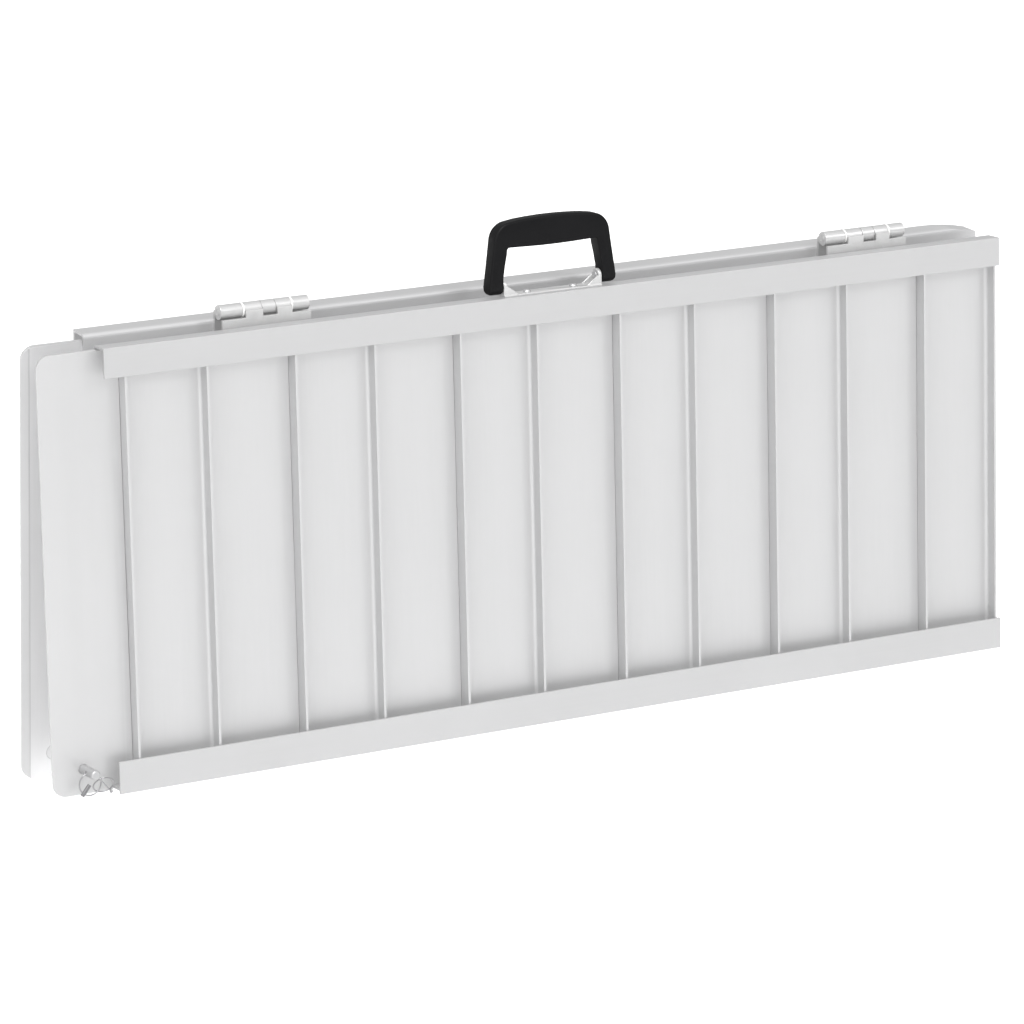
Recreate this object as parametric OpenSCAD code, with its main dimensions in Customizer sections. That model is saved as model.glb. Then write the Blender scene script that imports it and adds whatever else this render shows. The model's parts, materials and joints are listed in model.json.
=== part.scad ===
// Folding suitcase-style dog ramp, folded and standing on its long outer edges.
// Two aluminium halves are hinged along their top edges; the walking faces look at each other.
//
// Every piece of a half is drawn in that half's own frame:
//   x  along the ramp, from the left end of the rails
//   n  away from the middle plane of the folded pair, so n grows towards the outer face
//   u  down from the top of the front hinge rail
// The hinge axis lies on the middle plane, hinge_h above u = 0.

/* [Halves] */
// Width of one half, from the top of its hinge rail to its foot edge
half_w = 362; // [340:1:400]
// Length of the rails
rail_len = 852; // [820:1:900]
// Lean of each half away from the vertical, in degrees
lean = 2.5; // [2:0.1:3]
// Distance from the middle plane to the outer face of the rails
half_t = 27; // [26:0.5:32]
// Height of the hinge axis above the front hinge rail
hinge_h = 12; // [12:0.5:14]

/* [Rails] */
// Wall thickness of the rail extrusions
rail_t = 2.2; // [2:0.1:2.6]
// Height of the hinge rail's outer face
hinge_leg = 24.5; // [22:0.5:28]
// Height of the outer rail's outer face
outer_leg = 26.5; // [24:0.5:30]
// Distance from the middle plane to the ledge that the planks lie on
ledge_n = 8; // [8:0.5:9]
// Height by which the back hinge rail stands above the front one
back_rise = 5; // [3:0.5:6]
// Length over which that extra height runs out at the right end
rise_taper = 43; // [30:1:60]

/* [Planks] */
// Thickness of a plank's web
web_t = 2.5; // [2:0.1:3]
// Distance from the rail's left end to the first rib
first_rib = 18.5; // [16:0.5:22]
// Spacing of the seam ribs, which is also the width of a plank
plank_pitch = 151.4; // [150:0.1:152]
// Distance from a seam rib to the middle rib of the same plank
mid_rib = 72.2; // [70:0.1:74]
// Thickness of a rib
rib_t = 2; // [1.6:0.1:2.4]
// Radius in the corner between web and rib
rib_fillet = 3; // [2:0.5:4]
// Spacing of the grip ridges on the walking face
ridge_pitch = 9.4; // [8:0.1:12]
// Height of a grip ridge
ridge_h = 1.2; // [0.8:0.1:1.5]

/* [Ends] */
// Length of the lip beyond the rails
lip_len = 53; // [50:1:60]
// Thickness of the lip plate
lip_t = 4; // [3:0.5:5]
// Radius of the lip's free corners
lip_r = 12; // [8:1:16]
// Length of the ground-end strip beyond the rails
strip_len = 4; // [3:0.5:6]

/* [Hinges] */
// Middle of each hinge along the rails
hinge_x = [154.5, 728.6];
// Length of a hinge
hinge_len = 80; // [80:1:80]
// Outer radius of a knuckle
knuckle_r = 6; // [5.5:0.1:6]
// Radius of a hinge pin
hinge_pin_r = 2.5; // [2:0.1:3]
// Thickness of a leaf
leaf_t = 2.5; // [2:0.1:2.5]
// Depth of a leaf below the top of the rail
leaf_u = 22; // [20:1:24]

/* [Grip] */
// Middle of the grip along the rails
grip_x = 411.5; // [400:1:424]
// Distance from the middle plane to the grip
grip_n = 16.5; // [16:0.5:17]
// Half the width of the grip over its feet
grip_foot = 60; // [58:0.5:62]
// Half the width of the grip at its shoulders
grip_shoulder = 54.5; // [53:0.5:56]
// Height of the grip's top above its pivot
grip_top = 55.5; // [50:0.5:60]
// Height of the hand bar
grip_bar = 23.5; // [20:0.5:26]
// Depth of the grip, front to back
grip_depth = 13; // [12:0.5:13]

/* [Anchor pins] */
// Position of an anchor pin along the rails
pin_x = -25.7; // [-28:0.1:-24]
// Distance of an anchor pin below the top of the front hinge rail
pin_u = 340; // [338:0.5:341]
// Radius of an anchor pin
pin_r = 4; // [3.5:0.1:4.5]
// Length by which an anchor pin stands out of the lip
pin_out = 24; // [22:0.5:26]
// Distance of the cross hole from the lip
pin_eye = 12; // [11:0.5:13]
// Radius of the retaining ring, to the middle of its wire
ring_r = 9.5; // [9:0.1:9.6]
// Radius of the link ring, to the middle of its wire
link_r = 8.5; // [8:0.1:8.6]
// Radius of the ring wire
wire_r = 0.6; // [0.5:0.05:0.7]

/* [Hidden] */
$fn = 64;
silver = "gainsboro";
bright = "silver";
ink = [0.13, 0.13, 0.13];

run_gap = 0.06;              // radial clearance of a turning or sliding pin
seam = 0.3;                  // gap between neighbouring planks
fit_gap = 0.2;               // clearance of parts laid into the rails

leg_n = half_t - rail_t;     // inner face of the rails' outer legs
web_n = ledge_n + rail_t;    // walking side of the planks' webs
face_n = web_n + web_t;      // outer side of the planks' webs
rib_n = leg_n - 0.3;         // tips of the ribs
lip_n = web_n + lip_t;       // outer side of the lip
ledge_h = 24;                // height of the ledges that carry the plank ends
rail_round = 4;              // radius of the hinge rails' inner top corner

wall_u = half_w - 5;         // upper side of the outer rail's floor wall
wall_low = wall_u + 2.5;     // lower side of that wall
bead_r = 3;                  // radius of the bead along the curb
bead_u = wall_low - bead_r;
curb_gap = 0.2;              // half the gap between the two curbs
curb_tip = (hinge_h + bead_u) * tan(lean) - curb_gap;

axis_z = (hinge_h + half_w) * cos(lean) - leg_n * sin(lean);
x_mid = (rail_len + strip_len - lip_len) / 2;

plank_top = rail_round + fit_gap;
plank_low = wall_u - fit_gap;
planks = 6;
end_rib = first_rib + (planks - 1) * plank_pitch + mid_rib;

lip_top = 3;
lip_low = half_w - 1.5;
lip_rivet_x = 9;
lip_rivet_u = [13, half_w - 15];
sink_h = 1.6;                // depth of the lip rivets' countersunk heads

plate_top = 5.5;             // distance from the hinge axis to the cut-outs of a leaf
washer_t = 1.4;
washer_r = 6.3;
leaf_rivet_u = 13;
leaf_rivet_dx = [-24, 0, 24];
rivet_r = 2;
rivet_head = 3.6;

// Knuckles of a hinge, from its left end: [start, end]
back_knuckles = [[0, 19.6], [37.2, 49.4], [65, hinge_len]];
front_knuckles = [[21.4, 36.9], [49.7, 63.2]];
washers = [19.8, 63.4];

pivot_up = 8.5;              // grip pivot above the front hinge rail
pivot_r = 2.45;
ear_x = 43.6;
ear_t = 2.8;
ear_r = 5.5;
bracket_t = 1.6;
bracket_depth = 13;
screw_x = 22;
screw_r = 2;
grip_inner = grip_foot - 13.2;

eye_r = 1.6;
head_r = 6.2;
head_t = 2.2;
link_dist = 12;              // distance between the middles of the two rings
link_dip = 12;               // slope of the line between them, in degrees
link_turn = 35;              // turn of the link ring out of the retaining ring's plane
keeper_r = 1.7;
keeper_len = 11;
keeper_out = 2.3;            // length of the keeper pin outside the retaining ring
ball_r = 1.4;
ball_pin_span = [-9, 12];    // ends of the ball pin, from the middle of its chord
ball_pin_x = 2.2;            // offset of that chord from the middle of the link ring

// ---------------------------------------------------------------- frames and helpers

// Places a half's frame in the row frame, leaning to the front
module front_half() {
  translate([-x_mid, 0, axis_z]) rotate([-lean, 0, 0]) children();
}

// The same frame, leaning to the back
module back_half() {
  mirror([0, 1, 0]) front_half() children();
}

// A box in a half's frame, given by its limits in x, n and u
module slab(x0, x1, n0, n1, u0, u1) {
  translate([x0, -n1, -(hinge_h + u1)]) cube([x1 - x0, n1 - n0, u1 - u0]);
}

// A rectangle of a rail's section, in n and u
module bar(n0, n1, u0, u1) {
  translate([-n1, -(hinge_h + u1)]) square([n1 - n0, u1 - u0]);
}

// A point of a rail's section
function at(n, u) = [-n, -(hinge_h + u)];

// Runs a rail's section along x
module run_x(x0, x1) {
  translate([x0, 0, 0]) rotate([90, 0, 90]) linear_extrude(x1 - x0) children();
}

// A round bar along x, about the line n, u
module rod_x(x0, x1, n, u, r) {
  translate([x0, -n, -(hinge_h + u)]) rotate([0, 90, 0]) cylinder(r = r, h = x1 - x0);
}

// A round bar across the half, along n
module rod_n(x, u, n0, n1, r) {
  translate([x, -n0, -(hinge_h + u)]) rotate([90, 0, 0]) cylinder(r = r, h = n1 - n0);
}

// ---------------------------------------------------------------- planks and rails

// Section of a plank across its ribs, in x and n
module plank_section(x0, x1, ribs) {
  translate([x0, -face_n]) square([x1 - x0, web_t]);
  for (x = ribs) {
    translate([x, -rib_n]) square([rib_t, rib_n - face_n]);
    if (x - rib_fillet > x0) difference() {
      translate([x - rib_fillet, -face_n - rib_fillet]) square(rib_fillet);
      translate([x - rib_fillet, -face_n - rib_fillet]) circle(rib_fillet);
    }
  }
}

// Plank i of six, with the ribs on its outer side and grip ridges on its walking side
module plank(i) {
  x0 = first_rib + i * plank_pitch;
  x1 = i < planks - 1 ? x0 + plank_pitch - seam : x0 + mid_rib + rib_t;
  color(silver) difference() {
    union() {
      translate([0, 0, -(hinge_h + plank_low)]) linear_extrude(plank_low - plank_top)
        plank_section(x0, x1, [x0, x0 + mid_rib]);
      for (x = [x0 + ridge_pitch / 2 : ridge_pitch : x1 - 3])
        slab(x, x + 2, web_n - ridge_h, web_n, ledge_h + 4, wall_u - ledge_h);
    }
    leaf_rivet_shanks();
  }
}

// Quarter ring that rounds a hinge rail's inner top corner
module rail_corner(u_top) {
  intersection() {
    difference() {
      translate(at(ledge_n + rail_round, u_top + rail_round)) circle(rail_round);
      translate(at(ledge_n + rail_round, u_top + rail_round)) circle(rail_round - rail_t);
    }
    bar(ledge_n, ledge_n + rail_round, u_top, u_top + rail_round);
  }
}

// Section of a hinge rail whose top lies at u_top
module hinge_rail_section(u_top) {
  bar(leg_n, half_t, u_top, hinge_leg);
  bar(ledge_n + rail_round, half_t, u_top, u_top + rail_t);
  bar(ledge_n, web_n, u_top + rail_round, ledge_h);
  rail_corner(u_top);
}

module front_hinge_rail() {
  color(silver) front_half() difference() {
    run_x(0, rail_len) hinge_rail_section(0);
    leaf_rivet_shanks();
    lip_rivet_shanks();
    bracket_screw_shanks();
  }
}

// Radius of the arc in which the extra height of the back rail runs out
function taper_r() = (rise_taper * rise_taper + back_rise * back_rise) / (2 * back_rise);

// Side view of the back rail at its right end, cut inset below the arc
module taper_side(inset) {
  intersection() {
    translate([rail_len - rise_taper, -(hinge_h + hinge_leg)]) square([rise_taper, hinge_leg + back_rise]);
    translate([rail_len - rise_taper, back_rise - hinge_h - taper_r()]) circle(taper_r() - inset);
  }
}

// Solid section that fills a hinge rail, rounded like the rail
module full_section(u_top) {
  bar(ledge_n + rail_round, half_t, u_top, hinge_leg);
  bar(ledge_n, half_t, u_top + rail_round, hinge_leg);
  translate(at(ledge_n + rail_round, u_top + rail_round)) circle(rail_round);
}

// Stands an outline in x and u up between two values of n
module stand(n0, n1) {
  translate([0, -n0, 0]) rotate([90, 0, 0]) linear_extrude(n1 - n0) children();
}

module back_hinge_rail() {
  color(silver) back_half() difference() {
    union() {
      run_x(0, rail_len - rise_taper) hinge_rail_section(-back_rise);
      intersection() {
        run_x(rail_len - rise_taper, rail_len) hinge_rail_section(-back_rise);
        stand(ledge_n - 1, half_t + 1) taper_side(0);
      }
      intersection() {
        run_x(rail_len - rise_taper, rail_len) full_section(-back_rise);
        difference() {
          stand(ledge_n - 1, half_t + 1) taper_side(0);
          stand(ledge_n - 2, half_t + 2) taper_side(rail_t);
        }
      }
    }
    leaf_rivet_shanks();
    lip_rivet_shanks();
  }
}

// Section of an outer rail: face leg, floor wall, plank ledge and curb with its bead
module outer_rail_section() {
  polygon([
    at(leg_n, half_w - outer_leg), at(half_t, half_w - outer_leg),
    at(half_t, half_w + rail_t * tan(lean)), at(leg_n, half_w)
  ]);
  bar(bead_r - curb_tip, leg_n, wall_u, wall_low);
  bar(ledge_n, web_n, wall_u - ledge_h + 4, wall_u);
  translate(at(bead_r - curb_tip, bead_u)) circle(bead_r);
}

module outer_rail() {
  color(silver) difference() {
    run_x(0, rail_len) outer_rail_section();
    lip_rivet_shanks();
  }
}

// ---------------------------------------------------------------- lips, strips and rivets

// Outline of a lip in x and u, with its two free corners rounded
module lip_outline(top, low) {
  x0 = -lip_len;
  x1 = first_rib - seam;
  difference() {
    translate([x0, -(hinge_h + low)]) square([x1 - x0, low - top]);
    translate([x0, -(hinge_h + top + lip_r)]) square(lip_r);
    translate([x0, -(hinge_h + low)]) square(lip_r);
    translate([-fit_gap, -(hinge_h + plank_top)]) square([x1, plank_top - top + 1]);
    translate([-fit_gap, -(hinge_h + low)]) square([x1 + 1, low - plank_low]);
  }
  translate([x0 + lip_r, -(hinge_h + top + lip_r)]) circle(lip_r);
  translate([x0 + lip_r, -(hinge_h + low - lip_r)]) circle(lip_r);
}

// Bevel along a lip's leading edge, on the walking side
module lip_bevel() {
  translate([-lip_len, 0, -(hinge_h + half_w)]) linear_extrude(half_w + 10)
    polygon([[-1, -web_n + 1], [7, -web_n + 1], [7, -web_n], [0, -web_n - 2.5], [-1, -web_n - 2.5]]);
}

module lip(top) {
  color(silver) difference() {
    stand(web_n, lip_n) lip_outline(top, lip_low);
    lip_bevel();
    rod_n(pin_x, pin_u, web_n - 1, lip_n + 1, pin_r + run_gap);
    pin_sink(head_r + run_gap);
    lip_rivet_shanks();
    lip_rivet_sinks();
  }
}

// Narrow bar that closes the ground end
module end_strip() {
  x0 = end_rib + rib_t + seam;
  x1 = rail_len + strip_len;
  color(silver) translate([0, 0, -(hinge_h + plank_low)]) linear_extrude(plank_low - plank_top)
    polygon([[x0, -web_n], [x1 - 2.5, -web_n], [x1, -lip_n + 1.2], [x1, -lip_n], [x0, -lip_n]]);
}

module lip_rivet_shanks() {
  for (u = lip_rivet_u) rod_n(lip_rivet_x, u, ledge_n - 1, lip_n + 1, rivet_r);
}

// Countersunk heads, flush with the lip's outer side
module lip_rivet_sinks() {
  for (u = lip_rivet_u) translate([lip_rivet_x, sink_h - lip_n, -(hinge_h + u)]) rotate([90, 0, 0])
    cylinder(r1 = rivet_r, r2 = rivet_head, h = sink_h);
}

module lip_rivets() {
  color(bright) {
    for (u = lip_rivet_u) {
      rod_n(lip_rivet_x, u, ledge_n - 1, ledge_n, rivet_head);
      rod_n(lip_rivet_x, u, ledge_n - 1, lip_n - 1, rivet_r);
    }
    lip_rivet_sinks();
  }
}

module leaf_rivet_shanks() {
  for (x = hinge_x, dx = leaf_rivet_dx)
    rod_n(x + dx, leaf_rivet_u, ledge_n - leaf_t - 1, face_n + 1, rivet_r);
}

module leaf_rivets() {
  color(bright) for (x = hinge_x, dx = leaf_rivet_dx) {
    rod_n(x + dx, leaf_rivet_u, ledge_n - leaf_t - 1, ledge_n - leaf_t, rivet_head);
    rod_n(x + dx, leaf_rivet_u, ledge_n - leaf_t - 1, face_n + 1, rivet_r);
    rod_n(x + dx, leaf_rivet_u, face_n, face_n + 1, rivet_head);
  }
}

// ---------------------------------------------------------------- hinges

// One leaf with its knuckles. Side is 0 for the left hinge, bore the radius of its pin holes.
module leaf(side, knuckles, bore) {
  start = hinge_x[side] - hinge_len / 2;
  color(bright) difference() {
    union() {
      slab(start, start + hinge_len, ledge_n - leaf_t, ledge_n, plate_top - hinge_h, leaf_u);
      for (k = knuckles) {
        rod_x(start + k[0], start + k[1], 0, -hinge_h, knuckle_r);
        slab(start + k[0], start + k[1], 0, ledge_n, -hinge_h - 0.5, 1 - hinge_h);
        slab(start + k[0], start + k[1], ledge_n - leaf_t, ledge_n, -hinge_h, plate_top - hinge_h);
      }
    }
    rod_x(start - 1, start + hinge_len + 1, 0, -hinge_h, bore);
    leaf_rivet_shanks();
  }
}

// Bore radius of the knuckles that turn on the pin
turning_bore = hinge_pin_r + run_gap;

module hinge_pin(x) {
  color(bright) rod_x(x - hinge_len / 2, x + hinge_len / 2, 0, -hinge_h, hinge_pin_r);
}

module hinge_washers() {
  color("whitesmoke") front_half() for (x = hinge_x, w = washers) {
    start = x - hinge_len / 2 + w;
    difference() {
      rod_x(start, start + washer_t, 0, -hinge_h, washer_r);
      rod_x(start - 1, start + washer_t + 1, 0, -hinge_h, hinge_pin_r + run_gap);
    }
  }
}

// ---------------------------------------------------------------- handle

// Moves the origin to the middle of the grip's pivot line
module grip_frame() {
  translate([grip_x, -grip_n, pivot_up - hinge_h]) children();
}

module bracket_screw_shanks() {
  for (s = [-1, 1]) grip_frame() translate([s * screw_x, 0, -pivot_up - rail_t - 1])
    cylinder(r = screw_r, h = rail_t + bracket_t + 1.5);
}

// An ear of the bracket with its gussets, on the side s
module bracket_ear(s) {
  x0 = s > 0 ? ear_x : -ear_x - ear_t;
  translate([x0, 0, 0]) rotate([0, 90, 0]) cylinder(r = ear_r, h = ear_t);
  translate([x0, -ear_r, -pivot_up]) cube([ear_t, 2 * ear_r, pivot_up]);
  for (y = [-ear_r, ear_r - 1.5]) translate([0, y + 1.5, 0]) rotate([90, 0, 0]) linear_extrude(1.5)
    polygon([[s * ear_x, 1], [s * (ear_x - 11), bracket_t - pivot_up], [s * ear_x, bracket_t - pivot_up]]);
}

module handle_bracket() {
  color(silver) front_half() difference() {
    grip_frame() difference() {
      union() {
        translate([-ear_x - ear_t, -bracket_depth / 2, -pivot_up])
          cube([2 * (ear_x + ear_t), bracket_depth, bracket_t]);
        for (s = [-1, 1]) bracket_ear(s);
      }
      translate([-grip_foot, 0, 0]) rotate([0, 90, 0]) cylinder(r = pivot_r + run_gap, h = 2 * grip_foot);
    }
    bracket_screw_shanks();
  }
}

module bracket_screws() {
  color(bright) front_half() grip_frame() for (s = [-1, 1]) {
    translate([s * screw_x, 0, bracket_t - pivot_up]) cylinder(r1 = 3.6, r2 = 2.6, h = 1.8);
    translate([s * screw_x, 0, -pivot_up - rail_t - 1]) cylinder(r = screw_r, h = rail_t + bracket_t + 1.2);
  }
}

// Points of an arc about c, from angle a to angle b in n steps
function arc(c, r, a, b, n) =
  [for (i = [0 : n]) let (t = a + (b - a) * i / n) c + r * [cos(t), sin(t)]];

// Right-hand side of the grip's outline, from the foot over the shoulder to the arched top
grip_side = concat(
  [[grip_inner, -10], [grip_foot, -10]],
  arc([grip_shoulder - 16, grip_top - 18.5], 16, 8, 84, 8),
  [[20, grip_top - 0.6]]
);

// Outline of the grip, with the hand opening left out
module grip_outline() {
  last = len(grip_side) - 1;
  difference() {
    polygon(concat(grip_side, [for (i = [last : -1 : 0]) [-grip_side[i][0], grip_side[i][1]]]));
    polygon(concat(
      [[-grip_inner, -11], [grip_inner, -11], [grip_inner, ear_r + 2]],
      arc([grip_inner - 8, grip_top - grip_bar - 4], 4, 0, 90, 4),
      arc([8 - grip_inner, grip_top - grip_bar - 4], 4, 90, 180, 4),
      [[-grip_inner, ear_r + 2]]
    ));
  }
}

// Side profile of the grip: straight legs with round feet about the pivot
module grip_profile() {
  circle(grip_depth / 2);
  translate([-grip_depth / 2, 0]) square([grip_depth, grip_top + 1]);
}

module grip() {
  color(ink) front_half() grip_frame() difference() {
    intersection() {
      translate([0, grip_depth, 0]) rotate([90, 0, 0]) linear_extrude(2 * grip_depth) grip_outline();
      translate([-grip_foot - 5, 0, 0]) rotate([90, 0, 90])
        linear_extrude(2 * grip_foot + 10) grip_profile();
    }
    for (s = [-1, 1]) translate([s > 0 ? grip_inner - 3 : -55, 0, 0])
      rotate([0, 90, 0]) cylinder(r = pivot_r, h = 58 - grip_inner);
  }
}

// Pins that are fast in the legs and turn in the ears
module grip_pivot_pins() {
  color(bright) front_half() grip_frame() for (s = [-1, 1]) {
    translate([s > 0 ? ear_x - 1.6 : -55, 0, 0]) rotate([0, 90, 0])
      cylinder(r = pivot_r, h = 56.6 - ear_x);
    translate([s > 0 ? ear_x - 1.6 : 0.4 - ear_x, 0, 0]) rotate([0, 90, 0])
      cylinder(r = 3.5, h = 1.2);
  }
}

// ---------------------------------------------------------------- anchor pins and rings

// Countersunk head of an anchor pin, flush with the lip's walking side
module pin_sink(r) {
  translate([pin_x, -web_n, -(hinge_h + pin_u)]) rotate([90, 0, 0])
    cylinder(r1 = r, r2 = r - head_t, h = head_t);
}

module anchor_pin() {
  color(bright) difference() {
    union() {
      pin_sink(head_r);
      rod_n(pin_x, pin_u, web_n, lip_n + pin_out - 1, pin_r);
      translate([pin_x, -(lip_n + pin_out - 1), -(hinge_h + pin_u)]) rotate([90, 0, 0])
        cylinder(r1 = pin_r, r2 = pin_r - 1, h = 1);
    }
    rod_x(pin_x - 10, pin_x + 10, lip_n + pin_eye, pin_u, eye_r);
  }
}

// Origin in the cross hole, turned so that z is plumb
module eye_frame() {
  translate([pin_x, -(lip_n + pin_eye), -(hinge_h + pin_u)]) rotate([lean, 0, 0]) children();
}

// A wire ring that stands in the x-z plane
module wire_ring(r) {
  rotate([90, 0, 0]) rotate_extrude() translate([r, 0]) circle(wire_r, $fn = 24);
}

module retaining_ring() {
  color(bright) eye_frame() translate([0, 0, -ring_r]) wire_ring(ring_r);
}

// Short pin threaded on the retaining ring
module keeper_pin() {
  color(bright) eye_frame() translate([0, 0, -ring_r]) difference() {
    rotate([0, 38, 0]) translate([0, 0, -ring_r - keeper_out]) cylinder(r = keeper_r, h = keeper_len);
    rotate([90, 0, 0]) rotate_extrude() translate([ring_r, 0]) circle(wire_r + 0.05, $fn = 24);
  }
}

// Origin in the middle of the link ring, in the link ring's plane
module link_frame() {
  eye_frame() translate([0, 0, -ring_r]) rotate([0, link_dip, 0])
    translate([link_dist, 0, 0]) rotate([link_turn, 0, 0]) children();
}

module link_ring() {
  color(bright) link_frame() wire_ring(link_r);
}

// Thin pin with ball ends, lying across the link ring
module ball_pin() {
  color(bright) link_frame() translate([ball_pin_x, -2 * wire_r - 0.1, 0]) rotate([0, -50, 0]) {
    translate([0, 0, ball_pin_span[0]]) cylinder(r = wire_r, h = ball_pin_span[1] - ball_pin_span[0]);
    for (z = ball_pin_span) translate([0, 0, z]) sphere(ball_r);
  }
}

// ---------------------------------------------------------------- nodes

front_half() plank(0);  // front_plank_1
front_half() plank(1);  // front_plank_2
front_half() plank(2);  // front_plank_3
front_half() plank(3);  // front_plank_4
front_half() plank(4);  // front_plank_5
front_half() plank(5);  // front_plank_6
front_hinge_rail();
front_half() outer_rail();  // front_outer_rail
front_half() lip(lip_top);  // front_lip
front_half() end_strip();  // front_end_strip
front_half() lip_rivets();  // front_lip_rivets
front_half() leaf(0, front_knuckles, hinge_pin_r);  // front_leaf_left
front_half() leaf(1, front_knuckles, hinge_pin_r);  // front_leaf_right
front_half() leaf_rivets();  // front_leaf_rivets
front_half() hinge_pin(hinge_x[0]);  // hinge_pin_left
front_half() hinge_pin(hinge_x[1]);  // hinge_pin_right
hinge_washers();
handle_bracket();
bracket_screws();
grip();
grip_pivot_pins();
back_half() plank(0);  // back_plank_1
back_half() plank(1);  // back_plank_2
back_half() plank(2);  // back_plank_3
back_half() plank(3);  // back_plank_4
back_half() plank(4);  // back_plank_5
back_half() plank(5);  // back_plank_6
back_hinge_rail();
back_half() outer_rail();  // back_outer_rail
back_half() lip(0);  // back_lip
back_half() end_strip();  // back_end_strip
back_half() lip_rivets();  // back_lip_rivets
back_half() leaf(0, back_knuckles, turning_bore);  // back_leaf_left
back_half() leaf(1, back_knuckles, turning_bore);  // back_leaf_right
back_half() leaf_rivets();  // back_leaf_rivets
front_half() anchor_pin();  // front_anchor_pin
front_half() retaining_ring();  // front_retaining_ring
front_half() keeper_pin();  // front_keeper_pin
front_half() link_ring();  // front_link_ring
front_half() ball_pin();  // front_ball_pin
back_half() anchor_pin();  // back_anchor_pin
back_half() retaining_ring();  // back_retaining_ring
back_half() keeper_pin();  // back_keeper_pin
back_half() link_ring();  // back_link_ring
back_half() ball_pin();  // back_ball_pin
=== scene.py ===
import json
import math

import bmesh
import bpy
from mathutils import Matrix, Vector


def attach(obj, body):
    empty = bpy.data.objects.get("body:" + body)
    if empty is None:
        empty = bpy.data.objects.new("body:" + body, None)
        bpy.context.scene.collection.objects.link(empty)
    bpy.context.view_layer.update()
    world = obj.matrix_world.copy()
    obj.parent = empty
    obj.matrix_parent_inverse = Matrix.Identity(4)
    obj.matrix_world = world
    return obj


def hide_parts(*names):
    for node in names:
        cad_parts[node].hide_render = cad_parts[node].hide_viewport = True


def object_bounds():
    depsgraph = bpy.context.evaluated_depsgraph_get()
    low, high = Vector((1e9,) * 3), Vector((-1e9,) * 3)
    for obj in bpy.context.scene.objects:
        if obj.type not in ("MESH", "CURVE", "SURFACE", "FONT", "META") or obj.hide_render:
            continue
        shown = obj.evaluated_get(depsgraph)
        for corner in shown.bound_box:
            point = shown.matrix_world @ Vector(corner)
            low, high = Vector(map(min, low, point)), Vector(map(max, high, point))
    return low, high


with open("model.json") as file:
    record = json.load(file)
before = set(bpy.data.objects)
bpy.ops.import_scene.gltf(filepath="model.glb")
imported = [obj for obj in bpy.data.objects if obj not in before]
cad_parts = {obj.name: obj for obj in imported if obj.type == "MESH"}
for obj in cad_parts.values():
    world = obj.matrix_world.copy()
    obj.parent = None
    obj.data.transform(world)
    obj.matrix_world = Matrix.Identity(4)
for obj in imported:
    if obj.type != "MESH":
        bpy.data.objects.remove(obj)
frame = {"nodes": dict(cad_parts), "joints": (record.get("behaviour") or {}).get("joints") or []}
nodes, scene = frame["nodes"], bpy.context.scene
cad_lo, cad_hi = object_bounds()

LEAN = math.radians(2.5)
JOINTS = {j["name"]: j for j in frame["joints"]}

# ------------------------------------------------------------------ camera


def aim(obj, target):
    obj.rotation_mode = "QUATERNION"
    obj.rotation_quaternion = (Vector(target) - obj.location).to_track_quat("-Z", "Y")


camera = bpy.data.objects.new("camera", bpy.data.cameras.new("camera"))
scene.collection.objects.link(camera)
scene.camera = camera
camera.data.sensor_width = 36
camera.data.lens = 195.2
camera.data.clip_start, camera.data.clip_end = 0.1, 100
azimuth, elevation, distance = math.radians(-29.97), math.radians(14.64), 4.607
focus = Vector((-0.0162, 0.0, 0.1730))
camera.location = focus + distance * Vector((
    math.sin(azimuth) * math.cos(elevation), -math.cos(azimuth) * math.cos(elevation), math.sin(elevation)))
aim(camera, focus)

# ------------------------------------------------------------------ materials


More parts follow.
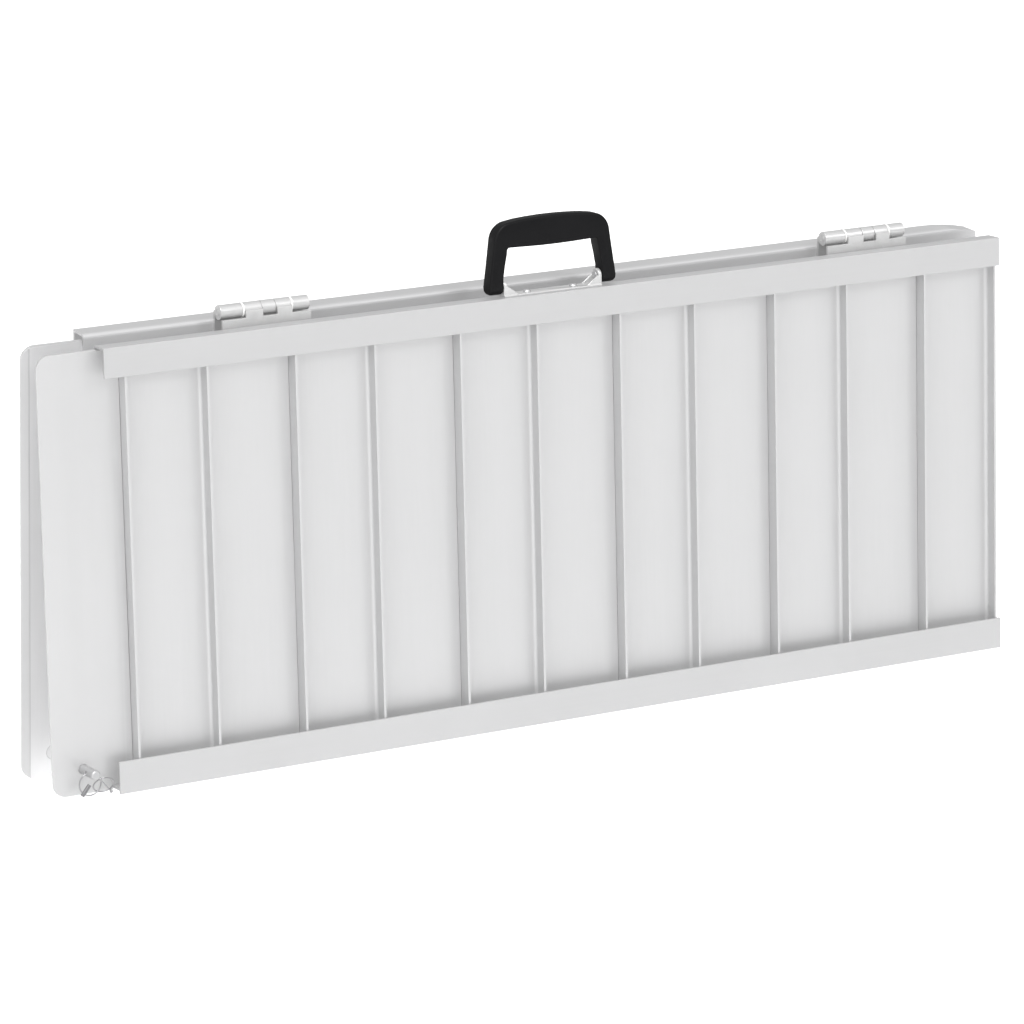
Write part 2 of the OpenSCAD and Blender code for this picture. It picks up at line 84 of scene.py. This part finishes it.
class Tree:
    """A material's node tree, with the object's own coordinates as the base of every pattern."""

    def __init__(self, name, color, metallic, roughness):
        self.mat = bpy.data.materials.new(name)
        self.mat.use_nodes = True
        self.nt = self.mat.node_tree
        self.shader = self.nt.nodes["Principled BSDF"]
        self.shader.inputs["Base Color"].default_value = (*color, 1)
        self.shader.inputs["Metallic"].default_value = metallic
        self.shader.inputs["Roughness"].default_value = roughness
        self.coords = self.nt.nodes.new("ShaderNodeTexCoord").outputs["Object"]
        self.mat.diffuse_color = (*color, 1)

    def link(self, a, b):
        self.nt.links.new(a, b)

    def set(self, socket, value):
        self.shader.inputs[socket].default_value = value

    def normal_y(self):
        """The y part of the flat face's normal in the object's own frame."""
        turn = self.nt.nodes.new("ShaderNodeVectorTransform")
        turn.vector_type, turn.convert_from, turn.convert_to = "NORMAL", "WORLD", "OBJECT"
        parts = self.nt.nodes.new("ShaderNodeSeparateXYZ")
        self.link(self.nt.nodes.new("ShaderNodeNewGeometry").outputs["True Normal"], turn.inputs[0])
        self.link(turn.outputs[0], parts.inputs[0])
        return parts.outputs["Y"]

    def noise(self, scale, detail=2.0, rough=0.5, distortion=0.0):
        """Noise whose three scales are given in cycles per metre."""
        m = self.nt.nodes.new("ShaderNodeMapping")
        m.inputs["Scale"].default_value = scale
        self.link(self.coords, m.inputs["Vector"])
        n = self.nt.nodes.new("ShaderNodeTexNoise")
        n.inputs["Scale"].default_value = 1.0
        n.inputs["Detail"].default_value = detail
        n.inputs["Roughness"].default_value = rough
        n.inputs["Distortion"].default_value = distortion
        self.link(m.outputs["Vector"], n.inputs["Vector"])
        return n.outputs["Fac"]

    def remap(self, value, a, b, lo, hi):
        n = self.nt.nodes.new("ShaderNodeMapRange")
        n.inputs["From Min"].default_value, n.inputs["From Max"].default_value = a, b
        n.inputs["To Min"].default_value, n.inputs["To Max"].default_value = lo, hi
        self.link(value, n.inputs["Value"])
        return n.outputs["Result"]

    def math(self, op, a, b):
        n = self.nt.nodes.new("ShaderNodeMath")
        n.operation = op
        for i, v in enumerate((a, b)):
            if isinstance(v, (int, float)):
                n.inputs[i].default_value = v
            else:
                self.link(v, n.inputs[i])
        return n.outputs[0]

    def mix(self, fac, a, b):
        n = self.nt.nodes.new("ShaderNodeMix")
        n.data_type = "RGBA"
        for socket, v in ((n.inputs["Factor"], fac), (n.inputs["A"], a), (n.inputs["B"], b)):
            if isinstance(v, tuple):
                socket.default_value = (*v, 1)
            elif isinstance(v, (int, float)):
                socket.default_value = v
            else:
                self.link(v, socket)
        return n.outputs["Result"]

    def edges(self, lo=0.52, hi=0.60):
        """One along the outer edges, nought elsewhere."""
        g = self.nt.nodes.new("ShaderNodeNewGeometry")
        return self.remap(g.outputs["Pointiness"], lo, hi, 0.0, 1.0)

    def color(self, socket):
        self.link(socket, self.shader.inputs["Base Color"])

    def roughness(self, socket):
        self.link(socket, self.shader.inputs["Roughness"])

    def bump(self, height, strength, distance):
        b = self.nt.nodes.new("ShaderNodeBump")
        b.inputs["Strength"].default_value = strength
        b.inputs["Distance"].default_value = distance
        self.link(height, b.inputs["Height"])
        self.link(b.outputs["Normal"], self.shader.inputs["Normal"])


def tint(color, k):
    return tuple(min(1.0, c * k) for c in color)


# painted light: the factor that lifts the base colour of flat faces towards the gap between the folded
# halves
GAP_LIGHT_LIFT = 1.5


def aluminium(name, color, lines, rough=0.42, line_depth=0.05, clouds=0.05, side=0):
    """Mill aluminium with die lines along the extrusion: lines is the pattern's scale across and along it.

    side is the sign of y on the node's walking side. Its flat faces there get painted light: their base
    colour is lifted by the gap factor above, because they come out too dark in the narrow gap between the
    folded halves."""
    t = Tree(name, color, 0.45, rough)
    die = t.noise(lines, 3.0, 0.6)
    broad = t.noise(tuple(v * 0.12 for v in lines), 1.0, 0.5)
    patch = t.noise((9, 9, 7), 3.0, 0.55)
    grain = t.noise((1500, 1500, 1500), 2.0, 0.5)
    streak = t.math("ADD", t.math("MULTIPLY", die, 0.6), t.math("MULTIPLY", broad, 0.4))
    shade = t.mix(t.remap(streak, 0.35, 0.65, 0.0, 1.0), tint(color, 0.975), tint(color, 1.02))
    shade = t.mix(t.remap(patch, 0.35, 0.7, 0.0, 0.55), shade, tint(color, 1.0 - clouds))
    if side:
        # mask of the faces towards the gap, where light is painted into the base colour
        gap_light_mask = t.remap(t.normal_y(), side * 0.96, side * 0.99, 0.0, 1.0)
        shade = t.mix(gap_light_mask, shade, tint(color, GAP_LIGHT_LIFT))
    t.color(t.mix(t.math("MULTIPLY", t.edges(), 0.6), shade, tint(color, 1.12)))
    base = t.remap(patch, 0.3, 0.7, rough - 0.05, rough + 0.06)
    t.roughness(t.math("ADD", base, t.remap(die, 0.3, 0.7, -0.04, 0.05)))
    t.bump(t.math("ADD", t.math("MULTIPLY", die, 0.75), t.math("MULTIPLY", grain, 0.25)), line_depth, 0.0002)
    return t.mat


def steel(name, color, rough, brush=(500, 500, 500), depth=0.04, dull=0.12, metal=1.0):
    """Bright steel with a fine directional finish and slightly dull handled patches."""
    t = Tree(name, color, metal, rough)
    line = t.noise(brush, 3.0, 0.6)
    smear = t.noise((60, 60, 60), 3.0, 0.6, distortion=0.4)
    fleck = t.noise((900, 900, 900), 2.0, 0.6)
    shade = t.mix(t.remap(smear, 0.4, 0.75, 0.0, 0.7), color, tint(color, 0.88))
    shade = t.mix(t.remap(fleck, 0.62, 0.72, 0.0, 0.35), shade, tint(color, 0.7))
    t.color(t.mix(t.math("MULTIPLY", t.edges(), 0.5), shade, tint(color, 1.15)))
    t.roughness(t.math("ADD", t.remap(smear, 0.35, 0.75, rough - 0.03, rough + dull),
                       t.remap(line, 0.3, 0.7, -0.03, 0.04)))
    t.bump(line, depth, 0.0002)
    return t.mat


def moulded(name, color, rough, worn, pebble=1400.0, depth=0.22, gloss=0.5):
    """Moulded plastic with a fine spark-eroded texture, rubbed smoother where hands and floors touch it."""
    t = Tree(name, color, 0.0, rough)
    t.set("Specular IOR Level", gloss)
    grain = t.noise((pebble, pebble, pebble), 2.0, 0.55)
    flow = t.noise((22, 40, 40), 3.0, 0.55, distortion=0.6)
    shade = t.mix(t.remap(flow, 0.4, 0.7, 0.0, 0.6), color, tint(color, 1.35))
    shade = t.mix(t.remap(grain, 0.55, 0.75, 0.0, 0.35), shade, tint(color, 1.6))
    t.color(t.mix(t.math("MULTIPLY", t.edges(0.51, 0.58), 0.5), shade, worn))
    t.roughness(t.math("ADD", t.remap(flow, 0.35, 0.7, rough - 0.05, rough + 0.07),
                       t.remap(grain, 0.3, 0.7, 0.04, -0.04)))
    t.bump(grain, depth, 0.00015)
    return t.mat


ALONG_X, ALONG_Z = (3, 420, 420), (420, 420, 3)
RAIL, PLATE = (0.378, 0.378, 0.381), (0.42, 0.42, 0.423)
MATS = {
    "plank": aluminium("plank_aluminium", (0.405, 0.405, 0.408), ALONG_Z, 0.52),
    "rail": aluminium("rail_aluminium", RAIL, ALONG_X, 0.50),
    # front_rail, back_rail, front_lip and back_lip are copies of the rail and plate aluminium with painted
    # light on their faces towards the gap between the halves
    "front_rail": aluminium("front_rail_aluminium", RAIL, ALONG_X, 0.50, side=1),
    "back_rail": aluminium("back_rail_aluminium", RAIL, ALONG_X, 0.50, side=-1),
    "strip": aluminium("strip_aluminium", PLATE, ALONG_Z, 0.50, clouds=0.03),
    "front_lip": aluminium("front_lip_aluminium", PLATE, ALONG_Z, 0.50, clouds=0.03, side=1),
    "back_lip": aluminium("back_lip_aluminium", PLATE, ALONG_Z, 0.50, clouds=0.03, side=-1),
    "bracket": aluminium("bracket_aluminium", (0.47, 0.47, 0.47), (300, 300, 300), 0.38, 0.08, 0.06),
    "hinge": steel("polished_hinge_steel", (0.47, 0.47, 0.47), 0.40, (25, 900, 900), metal=0.6),
    "rivet": steel("rivet_steel", (0.46, 0.46, 0.465), 0.40, metal=0.7),
    "ring": steel("zinc_wire", (0.30, 0.30, 0.305), 0.30, (300, 300, 300), 0.08, 0.16),
    "pin": steel("zinc_pin", (0.38, 0.38, 0.385), 0.36, (700, 700, 120), 0.10, 0.16, metal=0.6),
    # back_pin is the same zinc pin as pin, painted paler and less metallic so that its head matches the
    # painted light on the back lip in the gap and does not show as a darker disc
    "back_pin": steel("back_zinc_pin", (0.58, 0.58, 0.585), 0.38, (700, 700, 120), 0.10, 0.16, metal=0.45),
    "dark": steel("dark_keeper_steel", (0.20, 0.20, 0.205), 0.34, (500, 500, 200), 0.08, 0.12),
    "nylon": moulded("white_nylon", (0.60, 0.60, 0.59), 0.45, (0.66, 0.66, 0.65), 900.0, 0.08),
    "black": moulded("black_grip_plastic", (0.0035, 0.0035, 0.004), 0.50, (0.014, 0.014, 0.014), gloss=0.09),
}

# ------------------------------------------------------------------ finish of the CAD nodes

# part of the node's name: material, width of its broken edges in mm
FINISH = (
    ("plank", "plank", 0), ("back_hinge_rail", "back_rail", 0),
    ("front_hinge_rail", "front_rail", 0.4), ("rail", "rail", 0.4), ("end_strip", "strip", 0.4),
    ("lip_rivets", "rivet", 0.3), ("back_lip", "back_lip", 0.35), ("front_lip", "front_lip", 0.35),
    ("leaf_rivets", "rivet", 0.5), ("leaf", "hinge", 0.35), ("hinge_pin", "hinge", 0.5),
    ("washers", "nylon", 0.2), ("bracket_screws", "rivet", 0.4), ("bracket", "bracket", 0.5),
    ("grip_pivot_pins", "rivet", 0.3), ("grip", "black", 0),
    ("back_anchor", "back_pin", 0.4), ("anchor_pin", "pin", 0.4), ("keeper", "dark", 0.3),
    ("ring", "ring", 0), ("ball_pin", "ring", 0),
)


def normals_group():
    """Geometry nodes that drop stored normals and mark edges over 40 degrees as sharp."""
    g = bpy.data.node_groups.new("even_normals", "GeometryNodeTree")
    g.interface.new_socket("Geometry", in_out="INPUT", socket_type="NodeSocketGeometry")
    g.interface.new_socket("Geometry", in_out="OUTPUT", socket_type="NodeSocketGeometry")
    start, end = g.nodes.new("NodeGroupInput"), g.nodes.new("NodeGroupOutput")
    angle, over = g.nodes.new("GeometryNodeInputMeshEdgeAngle"), g.nodes.new("FunctionNodeCompare")
    over.inputs["B"].default_value = math.radians(40)
    n = g.nodes.new("GeometryNodeSetMeshNormal")
    n.mode = "SHARPNESS"
    g.links.new(start.outputs[0], n.inputs["Mesh"])
    g.links.new(angle.outputs["Unsigned Angle"], over.inputs["A"])
    g.links.new(over.outputs["Result"], n.inputs["Edge Sharpness"])
    g.links.new(n.outputs[0], end.inputs[0])
    return g


EVEN = normals_group()


def soften(o, width_mm, angle=32):
    """Breaks an object's sharp edges and evens its normals, without touching its mesh."""
    o.modifiers.new("weld", "WELD").merge_threshold = 2e-6
    if width_mm:
        flat = o.modifiers.new("flat", "DECIMATE")
        flat.decimate_type, flat.angle_limit = "DISSOLVE", math.radians(0.5)
        edge = o.modifiers.new("edges", "BEVEL")
        edge.width, edge.segments = width_mm / 1000, 2
        edge.limit_method, edge.angle_limit = "ANGLE", math.radians(angle)
        edge.use_clamp_overlap = False
    o.modifiers.new("even", "NODES").node_group = EVEN
    if width_mm:
        w = o.modifiers.new("weigh", "WEIGHTED_NORMAL")
        w.keep_sharp, w.weight = True, 90


for name, o in nodes.items():
    kind, width = next((m, w) for key, m, w in FINISH if key in name)
    for slot in o.material_slots:
        slot.material = MATS[kind]
    soften(o, width)

# ------------------------------------------------------------------ new pieces


def add_mesh(name, verts, faces, mat, body, smooth=True):
    me = bpy.data.meshes.new(name)
    me.from_pydata([tuple(v) for v in verts], [], faces)
    me.validate()
    bm = bmesh.new()
    bm.from_mesh(me)
    bmesh.ops.recalc_face_normals(bm, faces=bm.faces)
    bm.to_mesh(me)
    bm.free()
    for p in me.polygons:
        p.use_smooth = smooth
    o = bpy.data.objects.new(name, me)
    scene.collection.objects.link(o)
    me.materials.append(mat)
    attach(o, body)
    return o


def arc_points(cx, cy, r, a, b, n):
    return [(cx + r * math.cos(math.radians(a + (b - a) * i / n)),
             cy + r * math.sin(math.radians(a + (b - a) * i / n))) for i in range(n + 1)]


def grip_piece():
    """The carry grip: one rounded section lofted from foot to foot, over both shoulders and the hand bar."""
    pivot = Vector(JOINTS["handle_swing"]["pos_m"])
    foot, inner, depth = 60.0, 46.8, 6.5
    pairs = []                                       # outer point, inner point, in mm, from the left foot up
    for i in range(7):                               # rounded foot
        z = -depth * math.cos(math.radians(90 * i / 6))
        back = 3.6 - math.sqrt(max(0, 3.6 ** 2 - max(0.0, -z - (depth - 3.6)) ** 2))
        pairs.append(((-foot + back, z), (-inner - back * 0.4, z)))
    pairs += [((-59.0, 7.4), (-46.8, 7.4)), ((-57.4, 18.0), (-45.1, 17.5)), ((-55.6, 30.5), (-43.1, 26.5))]
    outer = arc_points(-38.5, 37.0, 16.0, 172, 96, 10)
    curve = arc_points(-40.4, 29.6, 2.4, 180, 90, 10)
    pairs += list(zip(outer, curve))
    for x, z in ((-31, 54.2), (-20, 54.9), (-10, 55.3), (0, 55.45)):
        pairs.append(((x, z), (x, 32.0 - 0.9 * (1 - (x / 36) ** 2))))
    pairs += [((-a[0], a[1]), (-b[0], b[1])) for a, b in reversed(pairs[:-1])]
    rings = []
    for k, (a, b) in enumerate(pairs):
        a, b = Vector((a[0], 0, a[1])), Vector((b[0], 0, b[1]))
        across, half = (a - b).normalized(), (a - b).length / 2
        end = min(k, len(pairs) - 1 - k)
        z = a.z if end < 7 else 9.0
        d = math.sqrt(max(0.6, depth ** 2 - min(0.0, z) ** 2)) if end < 7 else depth
        ro, ri = min(2.1, d * 0.5), min(1.3, d * 0.35)
        ring, mid = [], (a + b) / 2
        for (sx, sy, r) in ((1, 1, ro), (1, -1, ro), (-1, -1, ri), (-1, 1, ri)):
            start = {(1, 1): 90, (1, -1): 0, (-1, -1): -90, (-1, 1): -180}[(sx, sy)]
            for i in range(6):
                t = math.radians(start - 90 * i / 5)
                u, v = sx * (half - r) + r * math.cos(t), sy * (d - r) + r * math.sin(t)
                ring.append(mid + across * u + Vector((0, v, 0)))
        rings.append(ring)
    n = len(rings[0])
    tilt = Matrix.Rotation(-LEAN, 3, "X")
    verts = [pivot + (tilt @ p) / 1000 for ring in rings for p in ring]
    faces = [(k * n + i, k * n + (i + 1) % n, (k + 1) * n + (i + 1) % n, (k + 1) * n + i)
             for k in range(len(rings) - 1) for i in range(n)]
    faces += [tuple(range(n)), tuple(range((len(rings) - 1) * n, len(rings) * n))]
    o = add_mesh("carry_grip", verts, faces, MATS["black"], "handle")
    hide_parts("grip")
    return o


grip_piece()

# ------------------------------------------------------------------ floor, world and lights

pale = Tree("pale_floor", (0.92, 0.92, 0.92), 0.0, 0.85)
pale.color(pale.mix(pale.noise((1.2, 1.2, 1.2), 3.0), (0.915, 0.915, 0.915), (0.925, 0.925, 0.925)))
me = bpy.data.meshes.new("floor")
bm = bmesh.new()
bmesh.ops.create_circle(bm, cap_ends=True, segments=96, radius=30)
bm.to_mesh(me)
bm.free()
floor = bpy.data.objects.new("floor", me)
scene.collection.objects.link(floor)
floor.location.z = cad_lo.z - 0.0002
me.materials.append(pale.mat)

world = bpy.data.worlds.new("studio")
scene.world = world
world.use_nodes = True
nt = world.node_tree
back = nt.nodes["Background"]
tc = nt.nodes.new("ShaderNodeTexCoord")
sep = nt.nodes.new("ShaderNodeSeparateXYZ")
ramp = nt.nodes.new("ShaderNodeValToRGB")
nt.links.new(tc.outputs["Generated"], sep.inputs[0])
nt.links.new(sep.outputs["Z"], ramp.inputs["Fac"])
nt.links.new(ramp.outputs["Color"], back.inputs["Color"])
ramp.color_ramp.elements[0].position, ramp.color_ramp.elements[0].color = 0.0, (0.55, 0.55, 0.55, 1)
ramp.color_ramp.elements[1].position, ramp.color_ramp.elements[1].color = 0.9, (1, 1, 1, 1)
back.inputs["Strength"].default_value = 0.77


def softbox(name, place, target, size, power):
    light = bpy.data.objects.new(name, bpy.data.lights.new(name, "AREA"))
    light.data.shape, light.data.size, light.data.energy = "DISK", size, power
    light.location = place
    aim(light, target)
    scene.collection.objects.link(light)


softbox("key", (2.4, -3.0, 2.6), (0, 0, 0.2), 1.2, 34)
softbox("left", (-3.0, -1.2, 1.6), (0, 0, 0.2), 2.0, 36)

# an even frontal fill, without shadows so that it reaches into the gap between the halves
fill = bpy.data.objects.new("even_fill", bpy.data.lights.new("even_fill", "SUN"))
fill.data.energy, fill.data.angle, fill.data.use_shadow = 3.9, math.radians(20), False
fill.location = (-1.6, -3.4, 5.6)
aim(fill, (0, 0, 0.2))
scene.collection.objects.link(fill)

scene.view_settings.view_transform = "Standard"
